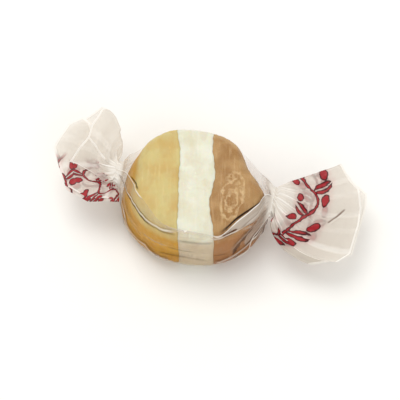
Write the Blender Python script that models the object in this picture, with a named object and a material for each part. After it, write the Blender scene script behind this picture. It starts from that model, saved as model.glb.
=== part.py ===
"""A salt water taffy: a pulled candy of three layers in a sheet of waxed paper whose two ends are twisted.

The twist axis runs along X, and the candy lies on its round face at z = 0. Around that axis an angle of 0 degrees
points to the front (-Y), 90 up, 180 to the back and 270 down. The stripes stand a little askew to the axis.
"""

import math
import random

import bmesh
import bpy
import numpy as np

MM = 0.001

# Candy
CANDY_LENGTH = 25.2 * MM
CANDY_WIDTH = 21.8 * MM
CANDY_HEIGHT = 13.2 * MM
SETTLED = 0.25 * MM  # what the weight takes off its underside
PLAN_POWER = 2.1  # 2 is an ellipse seen from above, more is squarer
EDGE_POWER = 4.5  # how square the edge between its face and its side is

# Where the hand-cut candy isn't a true oval, in degrees from +X towards the back, as a part of the way to its middle
CORNER_CUT = 0.19  # cut off flat behind the brown end
CORNER_AT = 30
CORNER_WIDTH = 20
CORNER_FROM = 12  # it fades out this far from the end itself
BACK_SWELL = 0.035
SWELL_AT = 122
SWELL_WIDTH = 24
END_SET_IN = 0.16  # the upper edge of the caramel end
END_WIDTH = 22
END_SET_IN_FROM = 1.0 * MM  # above the axis
END_SET_IN_OVER = 3.6 * MM

STRIPE_TURN = math.radians(10)
CARAMEL_END = -2.9 * MM
CREAM_END = 3.6 * MM
STRIPE_WAVE = 0.35 * MM
BROWN_BULGE = 0.9 * MM  # how far the brown layer bulges into the cream
BULGE_ACROSS = -4.4 * MM
BULGE_WIDTH = 3.2 * MM

# Waxed paper
PAPER = 0.3 * MM  # drawn thicker than the real sheet, so that it makes a solid
GAP = 0.3 * MM
LAP_START = math.radians(-22)  # the edge that lies under the lap, low on the front
LAP_LIFTS = math.radians(322)
LAP_LIFTED = math.radians(336)
FREE_EDGE_MIDDLE = math.radians(29)  # the upper edge lies along the candy's front rim
FREE_EDGE_RISE = math.radians(51)
PLEAT_DEPTH = 0.9 * MM
PLEAT_COLUMNS = 4
SHOULDER_TWIST = math.radians(25)
SHOULDER_FROM = 0.45  # the part of the candy's half length between which the taut paper can leave it
SHOULDER_TO = 0.985

# Necks, measured from the middle of the candy
NECK_AT = 14.3 * MM
NECK_HALF = {1: (3.0 * MM, 1.45 * MM), -1: (2.3 * MM, 1.5 * MM)}  # gathered wider than high
NECK_LENGTH = 0.8 * MM
NECK_PLACE = {1: (0.9 * MM, 1.4 * MM), -1: (1.5 * MM, 1.6 * MM)}  # towards the back, up
NECK_RIDGES = 6
RIDGE_DEPTH = 0.17  # of the neck's half width
RIDGE_FADING = 0.6  # how much of that depth is gone where the fan starts
NECK_TWIST = math.radians(60)
PLUG_INSIDE = 1.4 * MM  # how far the gathered core reaches in towards the candy
PLUG_SIZE = 0.3  # of the neck's size, at the core's hidden end
WRUNG_SIZE = 0.95  # of the neck's size, where the fan starts
SWELLS_OVER = 0.45  # the part of the core over which it widens
SHEET_IN_NECK = 0.3  # of the neck's size, where the sheet meets the core

# Tails: the corners of each fan's two layers as (angle from the axis towards the back, mm from the neck).
# The sheet was wrapped a little askew, so that its cut ends don't lie on one another.
UPPER_CORNERS = {
    1: [(-52, 12.7), (-37, 15.9), (-26, 16.5), (-7, 15.7), (6, 15.6), (18, 15.3), (43, 14.3)],
    -1: [(-108, 5.9), (-52, 5.6), (0, 8.6), (41, 8.2), (54, 10.1), (66, 11.7), (74, 11.9)],
}
LOWER_CORNERS = {
    1: [(-52, 12.7), (-37, 14.9), (-23, 16.6), (9, 16.6), (17, 16.9), (43, 14.3)],
    -1: [(-108, 5.9), (-81, 5.8), (-55, 7.2), (-29, 9.5), (12, 12.4), (36, 12.8), (60, 12.6), (68, 13.1), (74, 11.9)],
}
TAIL_SLOPE = {1: (-0.06, 0.10), -1: (0.05, 0.08)}  # rise along the axis and towards the back
TAIL_HALF_GAP = 1.25 * MM
TAIL_FOLDS = 7
FOLD_DEPTH = 1.5 * MM
TAIL_CURL = {1: -0.7 * MM, -1: 1.0 * MM}  # how far the sides of a fan bend up
FAN_START = 0.9  # of the neck's size
FAN_INSIDE = 0.95  # the width of a fan's mouth inside, as a part of its width outside

# Fineness of the faceted solids
SHEET_COLUMNS = 56
BODY_ROWS = 6
SHOULDER_ROWS = 4
TAIL_COLUMNS = 56
NECK_ROWS = 5
FAN_ROWS = 5
CANDY_STEPS = 40
CANDY_ROWS = 20
WAVE_STEPS = 14

CANDY_HALF = (CANDY_LENGTH / 2, CANDY_WIDTH / 2, CANDY_HEIGHT / 2)
CANDY_BOTTOM = GAP + PAPER
AXIS_HEIGHT = CANDY_BOTTOM + CANDY_HEIGHT / 2 - SETTLED
SIDES = {"left": -1, "right": 1}


def clear_scene():
    for item in list(bpy.data.objects):
        bpy.data.objects.remove(item, do_unlink=True)


def material(name, colour, roughness, alpha=1.0):
    made = bpy.data.materials.new(name)
    made.use_nodes = True
    shader = made.node_tree.nodes["Principled BSDF"]
    shader.inputs["Base Color"].default_value = (*colour, 1.0)
    shader.inputs["Roughness"].default_value = roughness
    shader.inputs["Metallic"].default_value = 0.0
    shader.inputs["Alpha"].default_value = alpha
    made.diffuse_color = (*colour, alpha)
    return made


def add_solid(name, points, faces, finish=None):
    """An object from points and faces that close on themselves, with its faces turned outwards."""
    mesh = bpy.data.meshes.new(name)
    mesh.from_pydata([tuple(map(float, point)) for point in points], [], faces)
    shape = bmesh.new()
    shape.from_mesh(mesh)
    bmesh.ops.recalc_face_normals(shape, faces=shape.faces)
    shape.to_mesh(mesh)
    shape.free()
    mesh.shade_smooth()
    made = bpy.data.objects.new(name, mesh)
    bpy.context.scene.collection.objects.link(made)
    if finish:
        mesh.materials.append(finish)
    return made


def helper(made):
    made.hide_render = True
    made.display_type = "WIRE"
    return made


def smooth(value):
    value = np.clip(value, 0.0, 1.0)
    return value * value * (3 - 2 * value)


def unevenness(x, angle):
    """Hand-cut candy is a few tenths of a millimetre out of round."""
    return 1 + 0.012 * np.cos(2 * angle + 0.7) + 0.010 * np.cos(3 * angle - 1.2 + 90 * x)


def out_of_oval(x, y, up):
    """How much further in than a plain oval the candy's side lies, above 1 where it was cut or pressed flat."""
    turn = np.degrees(np.arctan2(y, x))
    corner = CORNER_CUT * np.exp(-(((turn - CORNER_AT) / CORNER_WIDTH) ** 2)) * smooth(np.abs(turn) / CORNER_FROM)
    swell = BACK_SWELL * np.exp(-(((turn - SWELL_AT) / SWELL_WIDTH) ** 2))
    set_in = END_SET_IN * np.exp(-(((180 - np.abs(turn)) / END_WIDTH) ** 2))
    return 1 + corner - swell + set_in * smooth((up - END_SET_IN_FROM) / END_SET_IN_OVER)


def skin_radius(x, angle, lift):
    """Distance from the twist axis to the candy's skin grown by lift, found by halving."""
    long, wide, high = (half + lift for half in CANDY_HALF)
    along = np.clip(np.abs(x) / long, 0, 1) ** PLAN_POWER
    across = np.abs(np.cos(angle)) / wide
    upright = np.abs(np.sin(angle)) / high
    near = np.zeros(np.broadcast(along, across, upright).shape)
    far = near + 2 * CANDY_LENGTH
    for _ in range(36):
        middle = (near + far) / 2
        plan = (along + (middle * across) ** PLAN_POWER) ** (1 / PLAN_POWER)
        plan = plan * out_of_oval(x, -middle * np.cos(angle), middle * np.sin(angle))
        inside = plan**EDGE_POWER + (middle * upright) ** EDGE_POWER < 1
        near = np.where(inside, middle, near)
        far = np.where(inside, far, middle)
    floor = AXIS_HEIGHT - np.maximum(CANDY_BOTTOM - lift, 0)
    return np.minimum(near * unevenness(x, angle), floor / np.maximum(-np.sin(angle), 1e-9))


def around_axis(x, angle, radius, shift=(0.0, 0.0)):
    """Points at these distances from the twist axis, which is moved back and up by shift."""
    x, angle, radius = np.broadcast_arrays(x, angle, radius)
    y = shift[0] - radius * np.cos(angle)
    z = AXIS_HEIGHT + shift[1] + radius * np.sin(angle)
    return np.stack([x, y, z], axis=-1)


def candy_solid(name):
    """The whole candy, rings around the twist axis with a point at each end."""
    angles = np.linspace(0, 2 * math.pi, CANDY_STEPS, endpoint=False)
    points = [(-CANDY_HALF[0], 0, AXIS_HEIGHT), (CANDY_HALF[0], 0, AXIS_HEIGHT)]
    for row in range(1, CANDY_ROWS):
        x = -CANDY_HALF[0] * math.cos(math.pi * row / CANDY_ROWS)
        points.extend(around_axis(x, angles, skin_radius(x, angles, 0.0)))
    faces = []
    last = 2 + (CANDY_ROWS - 2) * CANDY_STEPS
    for step in range(CANDY_STEPS):
        after = (step + 1) % CANDY_STEPS
        faces.append((0, 2 + after, 2 + step))
        faces.append((1, last + step, last + after))
        for row in range(CANDY_ROWS - 2):
            near = 2 + row * CANDY_STEPS
            far = near + CANDY_STEPS
            faces.append((near + step, near + after, far + after, far + step))
    return add_solid(name, points, faces)


def stripe_border(at, phase, bulge=0.0):
    """A wavy sheet across the stripes, as a function of the place across and up."""

    def border(across, up):
        wave = math.sin(across * 330 + phase) + 0.6 * math.sin(across * 610 - up * 420 + 2 * phase)
        swelling = math.exp(-(((across - BULGE_ACROSS) / BULGE_WIDTH) ** 2))
        return at + STRIPE_WAVE * wave - bulge * swelling

    return border


def stripe_cutter(name, lower, upper):
    """A block between two wavy sheets, turned with the stripes, that keeps one layer of the candy."""
    steps = np.linspace(-1, 1, WAVE_STEPS + 1) * CANDY_WIDTH * 0.8
    points = []
    for border in (lower, upper):
        for across in steps:
            for up in steps:
                points.append((border(across, up), across, AXIS_HEIGHT + up))
    count = WAVE_STEPS + 1
    sheet = count * count
    faces = []
    for row in range(WAVE_STEPS):
        for step in range(WAVE_STEPS):
            a = row * count + step
            faces.append((a, a + 1, a + count + 1, a + count))
            faces.append((sheet + a, sheet + a + count, sheet + a + count + 1, sheet + a + 1))
    rim = [(row, 0) for row in range(WAVE_STEPS)]
    rim += [(WAVE_STEPS, step) for step in range(WAVE_STEPS)]
    rim += [(row, WAVE_STEPS) for row in range(WAVE_STEPS, 0, -1)]
    rim += [(0, step) for step in range(WAVE_STEPS, 0, -1)]
    rim = [row * count + step for row, step in rim]
    for a, b in zip(rim, rim[1:] + rim[:1]):
        faces.append((a, b, sheet + b, sheet + a))
    cutter = add_solid(name, points, faces)
    cutter.rotation_euler.z = STRIPE_TURN
    return helper(cutter)


def add_layers():
    """Three layers of one candy, each cut from the whole by its own block, with a gap between them."""
    finishes = {
        "taffy_caramel": material("pulled_taffy_caramel", (0.68, 0.45, 0.19), 0.42),
        "taffy_cream": material("pulled_taffy_cream", (0.86, 0.84, 0.70), 0.40),
        "taffy_brown": material("pulled_taffy_brown", (0.43, 0.22, 0.10), 0.45),
    }
    far = CANDY_LENGTH
    caramel_end = [stripe_border(CARAMEL_END + half, 0.4) for half in (-GAP / 2, GAP / 2)]
    cream_end = [stripe_border(CREAM_END + half, 1.9, BROWN_BULGE) for half in (-GAP / 2, GAP / 2)]
    borders = {
        "taffy_caramel": (lambda across, up: -far, caramel_end[0]),
        "taffy_cream": (caramel_end[1], cream_end[0]),
        "taffy_brown": (cream_end[1], lambda across, up: far),
    }
    for name, (lower, upper) in borders.items():
        layer = candy_solid(name)
        layer.data.materials.append(finishes[name])
        cut = layer.modifiers.new("layer", "BOOLEAN")
        cut.operation = "INTERSECT"
        cut.object = stripe_cutter(name + "_cutter", lower, upper)


def lap_lift(angle, face):
    """How far a face of the sheet (0 inner, 1 outer) stands off the candy, more where it laps over itself."""
    lapped = smooth((angle - LAP_LIFTS) / (LAP_LIFTED - LAP_LIFTS))
    return GAP + PAPER * face + (PAPER + GAP) * lapped


def pleat(columns, side):
    """Ridges from 0 to 1 round the shoulder, as a zigzag over the sheet's columns with ridges of uneven height."""
    zigzag = 1 - np.abs(columns % PLEAT_COLUMNS / (PLEAT_COLUMNS / 2) - 1)
    return zigzag * (0.7 + 0.3 * np.sin(1.9 * columns / PLEAT_COLUMNS + side))


def shoulder_start(angle, lift, side):
    """Where the taut paper leaves the candy on its straight way to the neck, for each angle."""
    x = np.linspace(SHOULDER_FROM, SHOULDER_TO, 150)[:, None] * CANDY_HALF[0]
    back, up = NECK_PLACE[side]
    neck = sheet_in_neck(angle, lift, side) + up * np.sin(angle) - back * np.cos(angle)
    steepness = (skin_radius(side * x, angle, lift) - neck) / (NECK_AT - x)
    return x[np.argmax(steepness, axis=0), 0]


def sheet_in_neck(angle, lift, side):
    """Distance from the neck's own middle to the sheet where it enters the neck."""
    wide, high = NECK_HALF[side]
    return SHEET_IN_NECK / np.hypot(np.cos(angle) / wide, np.sin(angle) / high) + lift - GAP


def sheet_row(row, face):
    """One row of points across the wrapped sheet, from the edge under the lap to the free edge."""
    side = 1 if row >= 0 else -1
    along = math.sin(math.pi / 2 * min(abs(row) / BODY_ROWS, 1.0))
    past = max(abs(row) - BODY_ROWS, 0) / SHOULDER_ROWS
    free_edge = 2 * math.pi + FREE_EDGE_MIDDLE + FREE_EDGE_RISE * along**3
    columns = np.arange(SHEET_COLUMNS + 1)
    angle = LAP_START + (free_edge - LAP_START) * columns / SHEET_COLUMNS
    lift = lap_lift(angle, face)
    start = shoulder_start(angle, lift, side)
    x = side * start * along
    radius = skin_radius(x, angle, lift)
    if past == 0:
        return around_axis(x, angle, radius)
    x = side * (start + (NECK_AT - start) * past)
    turned = angle + SHOULDER_TWIST * past**2
    radius = radius + (sheet_in_neck(turned, lift, side) - radius) * past
    radius = radius + PLEAT_DEPTH * pleat(columns, side) * math.sin(math.pi * past**0.8)
    back, up = NECK_PLACE[side]
    return around_axis(x, turned, radius, (back * past, up * past))


def add_wrapped_sheet(finish):
    """The sheet round the candy as a thin solid: both faces split alike, joined round their rim."""
    rows = range(-BODY_ROWS - SHOULDER_ROWS, BODY_ROWS + SHOULDER_ROWS + 1)
    grids = [np.array([sheet_row(row, face) for row in rows]) for face in (0, 1)]
    height, width = grids[0].shape[:2]
    points = np.concatenate([grid.reshape(-1, 3) for grid in grids])
    sheet = height * width
    faces = []
    for row in range(height - 1):
        for step in range(width - 1):
            a = row * width + step
            b, c, d = a + 1, a + width + 1, a + width
            faces += [(a, b, c), (a, c, d)]
            faces += [(sheet + a, sheet + c, sheet + b), (sheet + a, sheet + d, sheet + c)]
    rim = [step for step in range(width - 1)]
    rim += [row * width + width - 1 for row in range(height - 1)]
    rim += [(height - 1) * width + step for step in range(width - 1, 0, -1)]
    rim += [row * width for row in range(height - 1, 0, -1)]
    for a, b in zip(rim, rim[1:] + rim[:1]):
        faces += [(a, sheet + a, sheet + b), (a, sheet + b, b)]
    return add_solid("wrapper", points, faces, finish)


def straight_edge(corners, angle):
    """Distance from the neck to the straight cut between the two corners that this angle lies between."""
    for (before, near), (after, far) in zip(corners, corners[1:]):
        if angle <= after or after == corners[-1][0]:
            span = math.radians(after - before)
            part = math.radians(angle - before)
            return near * far * math.sin(span) / (near * math.sin(part) + far * math.sin(span - part))


def fold_heights(draw):
    """Heights of the fan's folds, turn about up and down."""
    return [(1 if fold % 2 else -1) * draw.uniform(0.45, 1.0) for fold in range(TAIL_FOLDS + 1)]


def tail_ring(side, part, inner, heights):
    """One ring round a tail, from the neck (part 0) to its cut end (part 1), outside or inside it."""
    corners = UPPER_CORNERS[side]
    middle = (corners[0][0] + corners[-1][0]) / 2
    spread = (corners[-1][0] - corners[0][0]) / 2
    along, across = TAIL_SLOPE[side]
    back, up = NECK_PLACE[side]
    ring = []
    for column in range(TAIL_COLUMNS):
        turn = column / TAIL_COLUMNS
        place = 1 - 4 * turn if turn <= 0.5 else 4 * turn - 3
        layer = math.copysign(math.sqrt(max(1 - place * place, 0)), 0.5 - turn)
        narrowed = place * (FAN_INSIDE if inner else 1.0)
        angle = math.radians(middle + spread * narrowed)
        corners = UPPER_CORNERS[side] if turn <= 0.5 else LOWER_CORNERS[side]
        reach = straight_edge(corners, middle + spread * narrowed) * MM
        fold = np.interp((narrowed + 1) / 2 * TAIL_FOLDS, range(TAIL_FOLDS + 1), heights)
        half_gap = TAIL_HALF_GAP - (PAPER if inner else 0)
        rise = reach * (along * math.cos(angle) + across * math.sin(angle))
        rise += fold * FOLD_DEPTH + place**2 * TAIL_CURL[side]
        end = (reach * math.cos(angle), reach * math.sin(angle), rise + layer * half_gap)
        wide, high = (0.0, 0.0) if inner else (half * FAN_START for half in NECK_HALF[side])
        start = (0.0, wide * math.cos(2 * math.pi * turn), high * math.sin(2 * math.pi * turn))
        x, y, z = (a + (b - a) * part for a, b in zip(start, end))
        ring.append((side * (NECK_AT + NECK_LENGTH + x), y + back, AXIS_HEIGHT + up + z))
    return ring


def neck_ring(side, part):
    """One ring round the twisted neck, from its hidden core (part 0) to the start of the fan (part 1)."""
    x = NECK_AT - PLUG_INSIDE + (PLUG_INSIDE + NECK_LENGTH) * part
    swell = smooth(part / SWELLS_OVER)
    core = PLUG_SIZE + (WRUNG_SIZE - PLUG_SIZE) * swell
    depth = RIDGE_DEPTH * swell * (1 - RIDGE_FADING * part)
    back, up = NECK_PLACE[side]
    wide, high = NECK_HALF[side]
    ring = []
    for column in range(TAIL_COLUMNS):
        angle = 2 * math.pi * column / TAIL_COLUMNS
        ridge = math.cos(NECK_RIDGES * (angle - NECK_TWIST * (1 - part)))
        size = core * (1 + depth * ridge)
        y, z = wide * size * math.cos(angle), high * size * math.sin(angle)
        ring.append((side * x, y + back, AXIS_HEIGHT + up + z))
    return ring


def add_tail(name, side, draw):
    """A neck and its fan: rings out along the outside, over the cut end and back in to the fold's bottom."""
    heights = fold_heights(draw)
    rings = [neck_ring(side, row / NECK_ROWS) for row in range(NECK_ROWS + 1)]
    rings += [tail_ring(side, row / FAN_ROWS, False, heights) for row in range(1, FAN_ROWS + 1)]
    rings += [tail_ring(side, row / FAN_ROWS, True, heights) for row in range(FAN_ROWS, 1, -1)]
    points = [point for ring in rings for point in ring]
    points.append(tuple(np.mean(rings[0], axis=0)))
    points.append(tuple(np.mean(rings[-1], axis=0)))
    faces = []
    for row in range(len(rings) - 1):
        for column in range(TAIL_COLUMNS):
            a = row * TAIL_COLUMNS + column
            b = row * TAIL_COLUMNS + (column + 1) % TAIL_COLUMNS
            faces += [(a, b, b + TAIL_COLUMNS), (a, b + TAIL_COLUMNS, a + TAIL_COLUMNS)]
    last = (len(rings) - 1) * TAIL_COLUMNS
    for column in range(TAIL_COLUMNS):
        after = (column + 1) % TAIL_COLUMNS
        faces.append((len(points) - 2, after, column))
        faces.append((len(points) - 1, last + column, last + after))
    return helper(add_solid(name, points, faces))


def add_wrapper():
    """One sheet: the part round the candy, joined to the two twisted tails."""
    wrapper = add_wrapped_sheet(material("waxed_paper", (0.86, 0.85, 0.83), 0.35, alpha=0.4))
    draw = random.Random(7)
    for name, side in SIDES.items():
        join = wrapper.modifiers.new(name + "_tail", "BOOLEAN")
        join.operation = "UNION"
        join.object = add_tail("tail_" + name, side, draw)


def main():
    clear_scene()
    add_layers()
    add_wrapper()


main()
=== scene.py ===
"""Salt water taffy: three pulled layers, and the sheet of waxed paper that is wrapped and twisted round them.

The twist axis runs along X and the candy lies on its round face at z = 0. Around that axis an angle of 0
degrees points to the front (-Y), 90 up, 180 to the back and 270 down.
"""

import math
import random
from functools import partial

import bpy
import numpy as np
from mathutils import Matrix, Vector
from mathutils.bvhtree import BVHTree


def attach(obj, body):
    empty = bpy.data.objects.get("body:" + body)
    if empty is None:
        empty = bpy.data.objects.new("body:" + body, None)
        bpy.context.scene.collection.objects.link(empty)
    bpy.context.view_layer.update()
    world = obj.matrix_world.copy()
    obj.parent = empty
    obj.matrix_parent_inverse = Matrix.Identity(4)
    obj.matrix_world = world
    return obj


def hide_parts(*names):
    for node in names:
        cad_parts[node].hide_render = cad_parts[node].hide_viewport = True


bl_info = {
    "name": "Salt Water Taffy",
    "version": (1, 0, 0),
    "blender": (4, 5, 0),
    "location": "3D View > Sidebar > Taffy",
    "description": "Makes one wrapped salt water taffy with its finishes, floor, light and camera",
    "category": "Object",
}

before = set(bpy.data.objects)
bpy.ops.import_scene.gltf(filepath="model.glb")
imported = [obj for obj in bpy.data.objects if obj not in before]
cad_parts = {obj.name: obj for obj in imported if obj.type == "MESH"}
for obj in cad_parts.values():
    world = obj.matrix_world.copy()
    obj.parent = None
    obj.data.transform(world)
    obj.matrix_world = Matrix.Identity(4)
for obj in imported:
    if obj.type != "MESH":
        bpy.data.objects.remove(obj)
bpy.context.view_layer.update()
MM = 0.001

# Candy
CANDY_HALF = (12.6 * MM, 10.9 * MM, 6.6 * MM)
PLAN_POWER = 2.1
EDGE_POWER = 4.5
CANDY_BOTTOM = 0.6 * MM
AXIS_HEIGHT = 6.95 * MM
CANDY_LIFT = 0.45 * MM  # the real candy fills the gap that its solids keep to the paper
# How much wider the candy is below this height, where it has sunk under its own weight, and over what height
SETTLING = 0.055
SETTLED_BELOW = 6.6 * MM
SETTLED_OVER = 3.2 * MM
# How far from its middle, either way, the candy has settled like this
SETTLED_WITHIN = 15 * MM
# Where the hand-cut candy isn't a true oval seen from above: how much further in it is, as a part of the way
# to its middle, at which angle from +X towards the back, and over what width in degrees
FLAT_CORNER = (0.19, 30, 20)
FLAT_CORNER_STARTS = 12  # degrees
BACK_SWELL = (0.035, 122, 24)
SET_IN_END = (0.16, 180, 22)
# The end is set in above this height over the twist axis, and fully so this much higher
SET_IN_ABOVE = 1.0 * MM
SET_IN_OVER = 3.6 * MM
STRIPE_TURN = math.radians(10)
STRIPE_WAVE = 0.2 * MM
BULGE_ACROSS = -4.4 * MM
BULGE_WIDTH = 4.2 * MM

# Where the sheet wraps, in degrees round the axis
LAP_START = -22
LAP_LIFTS = 322
LAP_LIFTED = 336
# The lap's free edge on each side, as (half, angle) pairs. Half runs from 0 at the middle through 1, where
# the paper leaves the candy, to 2 at the neck.
FREE_EDGE = {
    -1: ((0, 393.5), (0.11, 393.5), (0.26, 395), (0.35, 398.5), (0.46, 405), (0.57, 411.5), (0.74, 419),
         (1, 428), (1.33, 436), (1.6, 445), (2, 452)),
    1: ((0, 393.5), (0.2, 392.5), (0.36, 391), (0.43, 396), (0.52, 406), (0.65, 416), (0.78, 426),
        (1, 438), (1.4, 454), (2, 466)),
}
SHOULDER_TWIST = {-1: 8, 1: 28}

# Necks and tails, by side of the candy (-1 is the caramel end)
NECK_AT = 14.3 * MM
NECK_LENGTH = 0.8 * MM
NECK_HALF = {1: (3.0 * MM, 1.45 * MM), -1: (2.3 * MM, 1.5 * MM)}
NECK_PLACE = {1: (0.9 * MM, 1.4 * MM), -1: (1.5 * MM, 1.6 * MM)}
# The corners of each tail's cut end in its upper and lower layer: degrees towards the back, mm from the neck
UPPER_CORNERS = {
    1: [(-52, 12.7), (-37, 15.9), (-26, 16.5), (-7, 15.7), (6, 15.6), (18, 15.3), (43, 14.3)],
    -1: [(-108, 5.9), (-52, 5.6), (0, 8.6), (41, 8.2), (54, 10.1), (66, 11.7), (74, 11.9)],
}
LOWER_CORNERS = {
    1: [(-52, 12.7), (-37, 14.9), (-23, 16.6), (9, 16.6), (17, 16.9), (43, 14.3)],
    -1: [(-108, 5.9), (-81, 5.8), (-55, 7.2), (-29, 9.5), (12, 12.4), (36, 12.8), (60, 12.6), (68, 13.1),
         (74, 11.9)],
}
TAIL_SLOPE = {1: (-0.06, 0.10), -1: (0.05, 0.08)}
TAIL_HALF_GAP = 1.1 * MM
TAIL_FOLDS = 7
FOLD_DEPTH = {1: 1.1 * MM, -1: 0.6 * MM}
TAIL_CURL = {1: -0.7 * MM, -1: 1.0 * MM}

SHEET_WIDTH = 76.0  # mm round the candy, the scale of all that is drawn on the paper
SHEET_COLUMNS = 300
BODY_ROWS = 46
SHOULDER_ROWS = 30
NECK_ROWS = 22
FAN_ROWS = 58

# Stage
FLOOR_HALF = 1.5
CAMERA_TARGET = Vector((1.0 * MM, 0.0, 6.0 * MM))


def linear(code):
    """Linear red, green and blue of an sRGB hex value."""
    parts = [int(code[i : i + 2], 16) / 255 for i in (0, 2, 4)]
    return tuple(c / 12.92 if c <= 0.04045 else ((c + 0.055) / 1.055) ** 2.4 for c in parts)


def smooth(value):
    value = np.clip(value, 0.0, 1.0)
    return value * value * (3 - 2 * value)


def cosine(degrees):
    return np.cos(np.radians(degrees))


def sine(degrees):
    return np.sin(np.radians(degrees))


def out_of_oval(x, y, up):
    """How much further in than a plain oval the candy's side lies: above 1 where it was cut flat."""
    turn = np.degrees(np.arctan2(y, x))
    corner, swell, set_in = (
        deep * np.exp(-(((where - at) / width) ** 2))
        for where, (deep, at, width) in ((turn, FLAT_CORNER), (turn, BACK_SWELL), (np.abs(turn), SET_IN_END))
    )
    corner = corner * smooth(np.abs(turn) / FLAT_CORNER_STARTS)
    return 1 + corner - swell + set_in * smooth((up - SET_IN_ABOVE) / SET_IN_OVER)


def skin_radius(x, angle, lift):
    """Distance from the twist axis to the candy's skin grown by lift, found by halving."""
    long, wide, high = (half + lift for half in CANDY_HALF)
    across, upright = np.abs(cosine(angle)) / wide, np.abs(sine(angle)) / high
    along = np.clip(np.abs(x) / long, 0, 1) ** PLAN_POWER
    near = np.zeros(np.broadcast(along, across, upright).shape)
    far = near + 50 * MM
    for _ in range(30):
        middle = (near + far) / 2
        plan = (along + (middle * across) ** PLAN_POWER) ** (1 / PLAN_POWER)
        plan = plan * out_of_oval(x, -middle * cosine(angle), middle * sine(angle))
        inside = plan**EDGE_POWER + (middle * upright) ** EDGE_POWER < 1
        near = np.where(inside, middle, near)
        far = np.where(inside, far, middle)
    turn = np.radians(angle)
    uneven = 1 + 0.012 * np.cos(2 * turn + 0.7) + 0.010 * np.cos(3 * turn - 1.2 + 90 * x)
    floor = AXIS_HEIGHT - np.maximum(CANDY_BOTTOM - lift, 0)
    return np.minimum(near * uneven, floor / np.maximum(-sine(angle), 1e-9))


def settled(points):
    """The points, further out in the candy's lower half. The tails stay as they are."""
    low = smooth((SETTLED_BELOW - points[..., 2]) / SETTLED_OVER)
    low = low * smooth((SETTLED_WITHIN - np.abs(points[..., 0])) / (1.5 * MM))
    widened = points.copy()
    widened[..., :2] *= (1 + SETTLING * low)[..., None]
    return widened


def stacked(*values):
    return np.stack(np.broadcast_arrays(*values), axis=-1)


def around_axis(x, angle, radius, back=0.0, up=0.0):
    return stacked(x, back - radius * cosine(angle), AXIS_HEIGHT + up + radius * sine(angle))


def in_stripes(points):
    """Place along, across and up in the stripes' own axes."""
    along = points[..., 0] * math.cos(STRIPE_TURN) + points[..., 1] * math.sin(STRIPE_TURN)
    across = points[..., 1] * math.cos(STRIPE_TURN) - points[..., 0] * math.sin(STRIPE_TURN)
    return along, across, points[..., 2] - AXIS_HEIGHT


def border_place(border, across, up):
    """Where a border between two layers lies along the stripes' axis, waving as pulled candy does."""
    at, phase, bulge = border
    wave = np.sin(across * 330 + phase) + 0.6 * np.sin(across * 610 - up * 420 + 2 * phase)
    ripple = 0.05 * MM * np.sin(across * 1900 + 3 * phase) + 0.04 * MM * np.sin(across * 4100 + up * 900)
    swelling = np.exp(-(((across - BULGE_ACROSS) / BULGE_WIDTH) ** 2))
    return at + STRIPE_WAVE * wave + ripple - bulge * swelling


def border_on_skin(border, angles):
    """Where a border meets the skin, as x at each angle, found by halving."""
    low = np.full(angles.shape, -0.93 * CANDY_HALF[0])
    high = -low
    for _ in range(30):
        x = (low + high) / 2
        along, across, up = in_stripes(around_axis(x, angles, skin_radius(x, angles, CANDY_LIFT)))
        beyond = along > border_place(border, across, up)
        high = np.where(beyond, x, high)
        low = np.where(beyond, low, x)
    return (low + high) / 2


def mesh_object(name, points, faces, finish):
    mesh = bpy.data.meshes.new(name)
    faces = faces.tolist() if isinstance(faces, np.ndarray) else faces
    mesh.from_pydata(points.reshape(-1, 3).tolist(), [], faces)
    mesh.shade_smooth()
    mesh.materials.append(finish)
    made = bpy.data.objects.new(name, mesh)
    bpy.context.scene.collection.objects.link(made)
    return made


def ring_faces(rows, columns, closed):
    """Quads of a grid of points that is closed or open across."""
    across = columns if closed else columns - 1
    row, column = np.meshgrid(np.arange(rows - 1), np.arange(across), indexing="ij")
    a = row * columns + column
    b = row * columns + (column + 1) % columns
    return np.stack([a, b, b + columns, a + columns], axis=-1).reshape(-1, 4)


def candy_relief(points, seams):
    """How far the skin stands out: lines from pulling, hollows from the cut, and a seam at each border."""
    along, across, up = (part / MM for part in in_stripes(points))
    lines = 0.022 * np.sin(along * 5.1 + 0.8 * np.sin(across * 0.9))
    lines = lines + 0.016 * np.sin(along * 8.7 + across * 0.35)
    hollows = 0.05 * np.sin(along * 0.9 + across * 1.3 + 0.5) * np.sin(across * 0.8 - up * 1.1 + 1.0)
    dents = 0.03 * np.sin(along * 2.3 - across * 1.9 + up) * np.sin(across * 2.6 + along * 0.7)
    relief = lines + hollows + dents
    for border in seams:
        away = along - border_place(border, across * MM, up * MM) / MM
        relief = relief - 0.07 * np.exp(-((away / 0.3) ** 2))
    return relief * MM


def border_rings(border, edge):
    """Rings from a layer's edge towards its middle, over the border that it shares with the next layer."""
    _, across, up = in_stripes(edge)
    rings = []
    for scale in np.linspace(1, 0, 12)[1:-1]:
        depth = border_place(border, across * scale, up * scale)
        turned = depth * math.cos(STRIPE_TURN) - across * scale * math.sin(STRIPE_TURN)
        back = depth * math.sin(STRIPE_TURN) + across * scale * math.cos(STRIPE_TURN)
        rings.append(stacked(turned, back, AXIS_HEIGHT + up * scale))
    return np.array(rings)


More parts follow.
